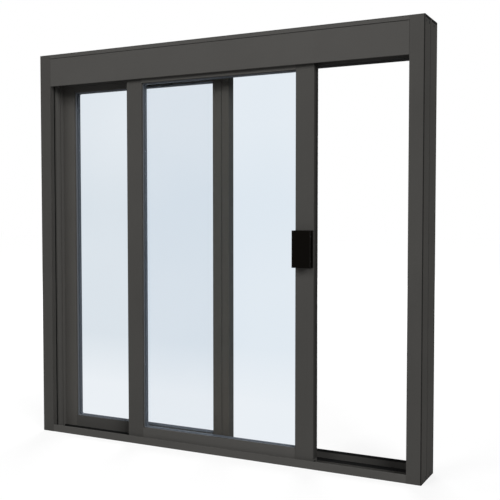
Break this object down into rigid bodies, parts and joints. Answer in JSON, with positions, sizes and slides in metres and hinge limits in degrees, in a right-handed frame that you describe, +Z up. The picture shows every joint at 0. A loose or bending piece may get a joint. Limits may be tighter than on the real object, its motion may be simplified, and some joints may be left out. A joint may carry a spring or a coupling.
{
  "type": "sliding service window",
  "caption": "Bronze aluminium service window: a fixed glazed panel and, in front of it, a glazed panel on rollers with a black pull, shown part-way open over the pass-through.",
  "frame": {"origin": "middle of the sill's underside, where the window stands on its opening", "axes": "+X to the right as the server sees it, along the sliding panel's travel; +Y away from the server; +Z up"},
  "size_m": [1.178, 0.1282, 1.139],
  "materials": {
    "bronze_frame": "satin dark bronze anodised",
    "bronze_panel": "satin dark bronze anodised",
    "track_metal": "mill",
    "hanger_steel": "zinc plated",
    "clear_glass": "clear tempered",
    "black_rubber": "matte",
    "guide_plastic": "matte",
    "pull_black": "satin black"
  },
  "bodies": {
    "root": {"left_jamb": "bronze_frame", "right_jamb": "bronze_frame", "left_jamb_seal": "black_rubber", "right_jamb_seal": "black_rubber", "head_frame": "bronze_frame", "head_cover": "bronze_frame", "head_filler": "bronze_frame", "sill": "bronze_frame", "bottom_guide": "track_metal", "roller_track": "track_metal", "fixed_left_stile": "bronze_panel", "fixed_right_stile": "bronze_panel", "fixed_top_rail": "bronze_panel", "fixed_bottom_rail": "bronze_panel", "fixed_glass": "clear_glass", "fixed_gaskets": "black_rubber", "slider_left_stile": "bronze_panel", "slider_right_stile": "bronze_panel", "slider_top_rail": "bronze_panel", "slider_bottom_rail": "bronze_panel", "slider_glass": "clear_glass", "slider_gaskets": "black_rubber", "left_guide_shoe": "guide_plastic", "right_guide_shoe": "guide_plastic", "meeting_seal": "black_rubber", "left_hanger": "hanger_steel", "right_hanger": "hanger_steel", "left_roller": "guide_plastic", "right_roller": "guide_plastic", "pull_handle": "pull_black"}
  },
  "joints": []
}
